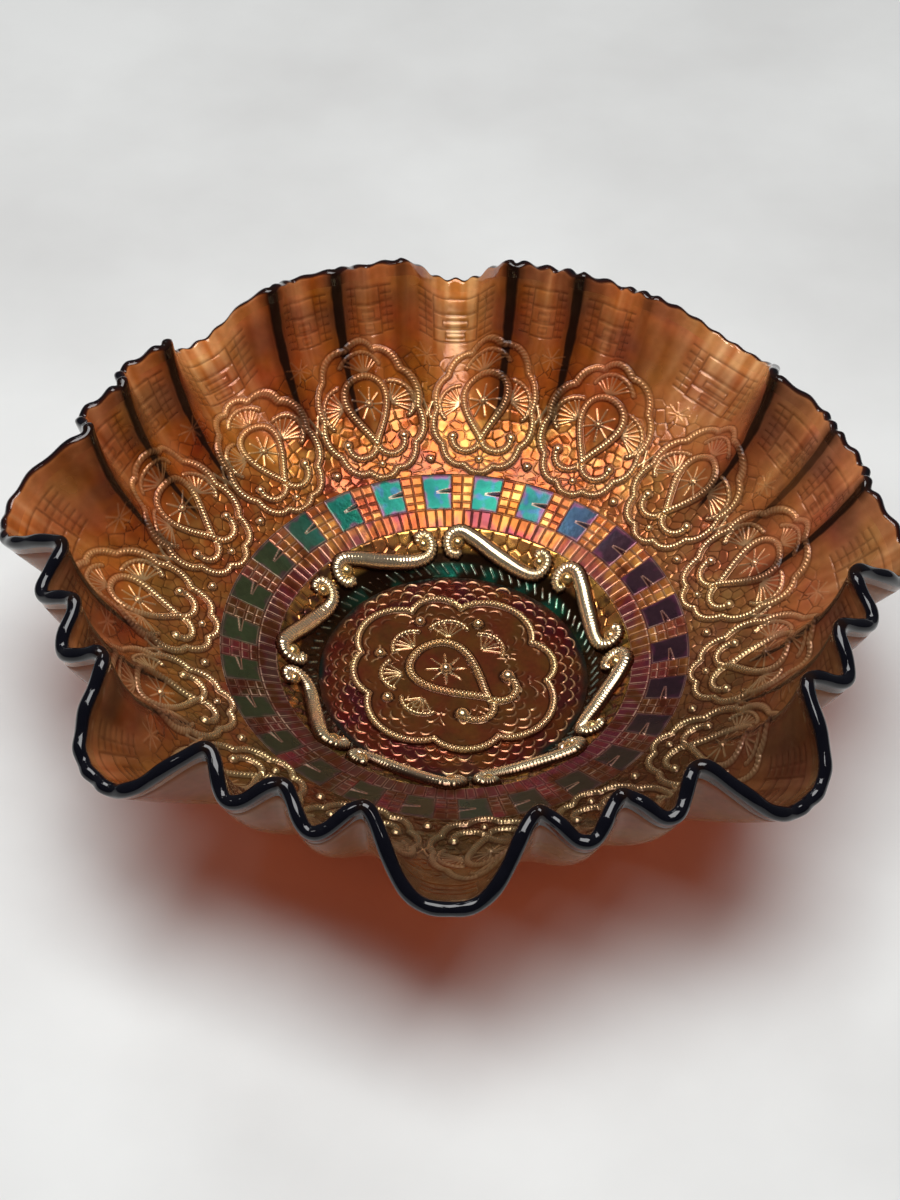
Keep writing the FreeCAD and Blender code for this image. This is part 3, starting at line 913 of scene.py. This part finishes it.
# ---- cartouche in the middle
FIGURE_HEADING = -50.0
NOTCHES = (
    (3.2, 26.0), (61.4, 26.6), (95.1, 28.0), (151.3, 28.6),
    (190.6, 27.3), (247.6, 27.0), (282.0, 28.8), (330.4, 27.5),
)
APEXES = (31.3, 30.6, 33.2, 30.9, 31.3, 30.2, 33.0, 30.3)
PLAQUE_TOP = 9.5


def cartouche(bearing):
    """Radius of the eight-lobed outline, from a bearing and a radius for each notch between lobes."""
    out = np.zeros(bearing.shape)
    for k, (start, low) in enumerate(NOTCHES):
        end, high = NOTCHES[(k + 1) % 8]
        span = (end - start) % 360
        t = ((bearing - start) % 360) / span
        swell = np.sin(np.pi * np.clip(t, 0, 1)) ** 0.75
        out = np.where(t <= 1, mix(low, high, t) + (APEXES[k] - (low + high) / 2) * swell, out)
    return out


plaque_bearing = bearings(960)
reach = cartouche(plaque_bearing)
share = np.concatenate([np.linspace(0.012, 0.2, 10), np.linspace(0.21, 1.0, 100)])
bearing, share = np.meshgrid(plaque_bearing, share)
radius = share * reach
x, y = plan(radius, bearing)
relief = Relief(x, y)
scale, lip = scales(bearing, radius - reach, 0.0, 2.6, 34)
scale_mask = ease(0.46, 0.56, share) * ease(-0.5, 0.0, waves(x, y, 16, 62))
relief.height = 0.42 * scale * scale_mask
relief.groove = 0.6 * lip * scale_mask


def on_plaque(points):
    """Points of the upright figure, turned and moved to where it lies on the plaque."""
    return turned(points, FIGURE_HEADING, (0.0, -1.0))


def round_figure(radius, heading):
    """One point of the upright figure, on a circle round the drop's wide end."""
    return on_plaque(arc_line(0, 2.5, radius, heading, heading, 1))[0]


main_drop = on_plaque(teardrop(9.0, 27.0))
in_drop = inside_line(x, y, main_drop)
relief.height *= 1 - in_drop
relief.groove *= 1 - in_drop
for heading in (-100, -50, 0, 50, 100):
    relief.fan(round_figure(12.8, heading), heading + FIGURE_HEADING, 6.4)
cord = {"half": 1.1, "tall": 1.3, "pitch": 1.15, "twist": 0.4}
for side in (-1, 1):
    relief.rope(on_plaque(curl_line(0, -13.2, 5.0, side)), **cord)
relief.rope(main_drop, **cord)
star_x, star_y = on_plaque([(0.0, 3.0)])[0]
relief.star(star_x, star_y, 8, 1.6, 5.6, turn=FIGURE_HEADING, half=0.3, tall=0.36)
beads = [(star_x, star_y, 1.8)]
beads += [(*on_plaque([(10.0 * side, -12.2)])[0], 2.1) for side in (-1, 1)]
beads += [(*round_figure(20.4, heading), 1.6) for heading in (-75, -25, 25, 75)]
for bead_x, bead_y, size in beads:
    relief.bead(bead_x, bead_y, size, size)
edge_line = on_ring(reach * 0.966, plaque_bearing, 0.0)[:, :2]
relief.rope(np.vstack([edge_line, edge_line[:1]]), half=1.05, tall=1.2, pitch=1.15, twist=0.4)
relief.height *= 1 - ease(0.992, 1.0, share)
front = on_ring(radius, bearing, PLAQUE_TOP - 0.25 * (1 - ease(0.5, 0.9, share)) + relief.height)
skirt = on_ring(reach, plaque_bearing, np.array([[PLAQUE_TOP - 0.1], [FLOOR_Z]]))
under = on_ring(np.array([[0.5], [0.02]]) * reach, plaque_bearing, FLOOR_Z)
mottle = waves(x, y, 12, 61)
film = paint(
    tint((0.20, 0.056, 0.017), bearing.shape),
    ((0.13, 0.060, 0.017), 0.5 * ease(-0.2, 0.8, mottle)),
    # dark in grooves, with painted shade round ropes and beads and behind the scales; painted highlights
    # on the crests and scale crests
    (DARK, 0.8 * relief.groove),
    (ROPE_HIGHLIGHT_GOLD, 0.9 * relief.crest),
    ((0.92, 0.56, 0.30), 0.8 * scale * scale_mask * (1 - relief.crest)),
)
plain = np.concatenate([skirt, under])
rings = np.concatenate([front, plain])
colours = np.concatenate([film, tint((0.10, 0.03, 0.012), plain.shape[:2])])
metal = np.concatenate([0.62 + 0.3 * relief.crest, np.full(plain.shape[:2], 0.4)])
center_medallion = ring_mesh(
    "center_medallion_gold", rings, colours, {"metal": metal, "clear": 0 * metal}, loop=False,
    hard=(len(front), len(front) + 1),
)

# ---- collar base
collar_line = np.array([
    (38.0, COLLAR_TOP), (38.0, 0.6), (38.2, 0.2), (38.6, 0.0), (41.5, 0.0), (44.2, 0.0), (44.7, 0.25),
    (COLLAR_R, 0.8), (COLLAR_R, 2.2), (COLLAR_R, COLLAR_TOP),
])[..., None]
rings = on_ring(collar_line[:, 0], bearings(360), collar_line[:, 1])
film = tint((0.05, 0.016, 0.006), rings.shape[:2])
none = np.zeros(rings.shape[:2])
collar_base = ring_mesh(
    "collar_base_glass", rings, film, {"metal": none, "clear": none}, hard=(len(rings) - 1,)
)

# ---- crimped rim
SCALLOPS = 120
RIM_FOOT = thickness(CUT) / 2
rim_bearing = bearings(SCALLOPS * 16)


def rim_section(halves):
    """The edge's outline from halves of its thickness, at set distances beyond the wall."""
    half = list(zip((0.0, 1.2, 2.1, 3.1, 3.95, 4.45), halves))
    line = flow(half + [(4.6, 0.0)] + [(a, -b) for a, b in reversed(half)], steps=3)
    first, last = line[:1], line[-1:]
    return np.vstack([first, first + (JOINT_ROW, 0), line[1:-1], last + (JOINT_ROW, 0), last])


# a fat bead in front, and at the back a wall that only turns over at its end
bead_section = rim_section((RIM_FOOT, RIM_FOOT, 1.76, 1.86, 1.52, 0.83))
plain_section = rim_section((RIM_FOOT, RIM_FOOT - 0.01, RIM_FOOT - 0.02, RIM_FOOT - 0.05, 1.40, 0.80))
bearing, row = np.meshgrid(rim_bearing, np.arange(len(bead_section)))
away = ease(-0.25, 0.10, cosine(bearing))
beyond = bead_section[row, 0]
across = mix(bead_section[row, 1], plain_section[row, 1], away)
phase = 2 * math.pi * (bearing / 360 * SCALLOPS + 0.2 * sine(bearing * 11))
tooth = 0.5 * np.sin(phase)
uneven = 0.72 + 0.35 * sine(bearing * 5 + 40)
uneven = uneven * (0.55 + 0.45 * ease(-0.3, 0.2, cosine(bearing)))
tall = ease(0.8, 4.0, beyond)
fold_gap, fold_strength = crimp(rim_bearing)[3:]
fold_line = np.broadcast_to(hump(fold_gap, 0, 0.9) * fold_strength, bearing.shape)
beyond_now = beyond + tall * (1.15 * tooth * uneven - 0.1)
rings = wall_point(CUT + beyond_now / WALL_LENGTH, bearing, across * (1 + 0.06 * tooth * tall))


def round_rim(values):
    """Carries a row of values at the top of the wall round to the rim's columns."""
    return np.broadcast_to(np.interp(rim_bearing, wall_bearing, values, period=360), bearing.shape)


joined = np.stack([round_rim(top_film[:, k]) for k in range(3)], -1)
inner_share = ease(-0.1, 0.5, across) * away
black = tint((0.004, 0.004, 0.007), bearing.shape)
film = mix(black, joined, (inner_share * (1 - ease(3.7, 4.2, beyond)))[..., None])
film = lay(film, (0.05, 0.010, 0.004), 0.75 * inner_share * hump(beyond, 4.2, 0.3))
low_part = (1 - away) * (1 - ease(1.6, 2.6, beyond - 0.7 * ease(-0.5, 0.5, across)))
film = mix(film, joined * 0.8, low_part[..., None])
film = lay(film, DARK, 0.9 * fold_line)
fields = {
    "metal": round_rim(top_metal) * inner_share,
    "clear": round_rim(top_clear) * inner_share * (1 - ease(3.7, 4.2, beyond)),
}
crimped_rim = ring_mesh("crimped_rim_edge", rings, film, fields, hard=(len(bead_section) - 1,))


# ---- materials
SHADE = (0.35, 0.115, 0.024)


def add(tree, kind, **feeds):
    """A new node. A feed is a value or another node's output, and in its name "_" is a space."""
    made = tree.nodes.new(kind)
    for name, feed in feeds.items():
        socket = made.inputs[name.replace("_", " ")]
        if isinstance(feed, bpy.types.NodeSocket):
            tree.links.new(feed, socket)
        else:
            socket.default_value = feed
    return made


def remap(tree, source, low, high, to_low, to_high):
    """A value moved from one range to another."""
    return add(
        tree, "ShaderNodeMapRange",
        Value=source, From_Min=low, From_Max=high, To_Min=to_low, To_Max=to_high,
    ).outputs["Result"]


def noise(tree, size, detail):
    place = add(tree, "ShaderNodeTexCoord").outputs["Object"]
    return add(tree, "ShaderNodeTexNoise", Vector=place, Scale=size, Detail=detail).outputs["Fac"]


def mesh_field(tree, name, output):
    made = add(tree, "ShaderNodeAttribute")
    made.attribute_name = name
    return made.outputs[output]


def glass_film(name, grain, rough, coat, hue, bump):
    """Glass under a lustre film: colour, metal and clearness come from the mesh, mottled on top."""
    material = bpy.data.materials.new(name)
    material.use_nodes = True
    tree = material.node_tree
    tree.nodes.clear()
    cloud = noise(tree, grain, 3.0)
    fine = noise(tree, grain * 6, 2.0)
    vary = add(
        tree, "ShaderNodeHueSaturation", Color=mesh_field(tree, "film", "Color"),
        Hue=remap(tree, cloud, 0.3, 0.7, 0.5 - hue, 0.5 + hue),
        Value=remap(tree, fine, 0.3, 0.7, 0.91, 1.10),
    )
    dent = add(tree, "ShaderNodeBump", Strength=bump, Distance=0.0006, Height=fine)
    shader = add(
        tree, "ShaderNodeBsdfPrincipled",
        Base_Color=vary.outputs["Color"],
        Metallic=mesh_field(tree, "metal", "Fac"),
        Transmission_Weight=mesh_field(tree, "clear", "Fac"),
        Roughness=remap(tree, cloud, 0.3, 0.7, rough * 0.7, rough * 1.4),
        Normal=dent.outputs["Normal"],
        Coat_Weight=coat, Coat_Roughness=0.04, IOR=1.45, Specular_IOR_Level=0.15,
    )
    # light that falls through the glass takes its colour, so the shadow is tinted
    through = add(tree, "ShaderNodeBsdfTransparent", Color=(*SHADE, 1))
    path = add(tree, "ShaderNodeLightPath")
    both = add(tree, "ShaderNodeMixShader")
    tree.links.new(path.outputs["Is Shadow Ray"], both.inputs[0])
    tree.links.new(shader.outputs[0], both.inputs[1])
    tree.links.new(through.outputs[0], both.inputs[2])
    add(tree, "ShaderNodeOutputMaterial", Surface=both.outputs[0])
    return material


lustre = {
    "amber_lustre": glass_film("amber_lustre_film", 60, 0.21, 0.10, 0.012, 0.12),
    "rainbow_lustre": glass_film("rainbow_lustre_film", 90, 0.30, 0.0, 0.015, 0.12),
    "gold_lustre": glass_film("gold_lustre_film", 120, 0.16, 0.2, 0.015, 0.02),
    "dark_glass": glass_film("dark_glass_film", 90, 0.20, 0.15, 0.02, 0.08),
    "edge_glass": glass_film("edge_glass_film", 70, 0.05, 0.60, 0.005, 0.06),
}
for piece, node, slot in (
    (collar_base, "collar_base", "dark_glass"),
    (bowl_floor, "bowl_floor", "dark_glass"),
    (scroll_ring, "scroll_ring", "dark_glass"),
    (center_medallion, "center_medallion", "gold_lustre"),
    (scrolls, "scrolls", "gold_lustre"),
    (brick_band, "brick_band", "rainbow_lustre"),
    (bowl_wall, "bowl_wall", "amber_lustre"),
    (crimped_rim, "crimped_rim", "edge_glass"),
):
    piece.data.materials.clear()
    piece.data.materials.append(lustre[slot])
    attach(piece, "root")
    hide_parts(node)

# ---- table and light
bpy.ops.mesh.primitive_plane_add(size=4.0, location=(0, 0, 0))
table = bpy.context.object
table.name = "table_top"
table_paint = bpy.data.materials.new("table_paint")
table_paint.use_nodes = True
tree = table_paint.node_tree
shader = tree.nodes["Principled BSDF"]
ramp = add(tree, "ShaderNodeValToRGB", Fac=noise(tree, 7, 8))
ramp.color_ramp.elements[0].position = 0.30
ramp.color_ramp.elements[0].color = (0.70, 0.70, 0.69, 1)
ramp.color_ramp.elements[1].position = 0.62
ramp.color_ramp.elements[1].color = (0.83, 0.84, 0.83, 1)
tree.links.new(ramp.outputs["Color"], shader.inputs["Base Color"])
shader.inputs["Roughness"].default_value = 0.55
table.data.materials.append(table_paint)


def area_light(name, place, aim, size, power, colour):
    data = bpy.data.lights.new(name, "AREA")
    data.shape = "RECTANGLE"
    data.size, data.size_y = size
    data.energy = power
    data.color = colour
    lamp = bpy.data.objects.new(name, data)
    lamp.location = place
    lamp.rotation_euler = (Vector(aim) - Vector(place)).to_track_quat("-Z", "Y").to_euler()
    bpy.context.scene.collection.objects.link(lamp)


area_light("overhead", (-0.04, -0.08, 1.35), (0, 0, 0.0), (0.98, 0.80), 19.5, (1.0, 1.0, 1.0))
area_light("window_behind", (-0.45, 0.85, 1.15), (0, 0, 0.03), (0.16, 0.12), 0.5, (0.97, 0.98, 1.0))
area_light("wall_left", (-0.8, -0.1, 1.15), (0, 0, 0.03), (0.08, 0.08), 0.2, (1.0, 0.99, 0.97))
area_light("ceiling_front", (0.30, -0.60, 1.2), (0, 0, 0.03), (0.09, 0.06), 0.2, (1.0, 0.99, 0.97))

world = bpy.data.worlds.new("soft_room")
world.use_nodes = True
tree = world.node_tree
back_light = tree.nodes["Background"]
sky = add(tree, "ShaderNodeTexCoord")
split = add(tree, "ShaderNodeSeparateXYZ", Vector=sky.outputs["Generated"])
seen = add(tree, "ShaderNodeLightPath")
pale = add(
    tree, "ShaderNodeMix", Factor=seen.outputs["Is Camera Ray"],
    A=remap(tree, split.outputs["Y"], -0.8, 0.7, 0.02, 0.07), B=0.72,
)
tree.links.new(pale.outputs["Result"], back_light.inputs["Strength"])
back_light.inputs["Color"].default_value = (0.98, 0.98, 1.0, 1)
bpy.context.scene.world = world

# ---- the photo's camera, as fitted to the scrolls and the folds
DISTANCE, ELEVATION = 622.6, math.radians(47.69)
AIM_HEIGHT = 15.0
SWING, TIP, ROLL = math.radians(-0.172), math.radians(1.54), math.radians(2.10)
aim = Vector((0, 0, AIM_HEIGHT))
eye = aim + Vector((0, -math.cos(ELEVATION), math.sin(ELEVATION))) * DISTANCE
forward = (aim - eye).normalized()
right = Vector((1, 0, 0))
upward = right.cross(forward)
forward = (forward + right * math.tan(SWING) + upward * math.tan(TIP)).normalized()
right = forward.cross(Vector((0, 0, 1))).normalized()
upward = right.cross(forward)
turned_right = right * math.cos(ROLL) + upward * math.sin(ROLL)
turned_up = upward * math.cos(ROLL) - right * math.sin(ROLL)
camera_data = bpy.data.cameras.new("camera")
# millimetres, as on a full-frame camera
camera_data.lens = 64.7
camera_data.sensor_width = 36.0
camera_data.clip_start = 0.01
camera = bpy.data.objects.new("camera", camera_data)
pose = Matrix((turned_right, turned_up, -forward)).transposed().to_4x4()
pose.translation = eye * MM
camera.matrix_world = pose
scene = bpy.context.scene
scene.collection.objects.link(camera)
scene.camera = camera
scene.view_settings.view_transform = "Standard"
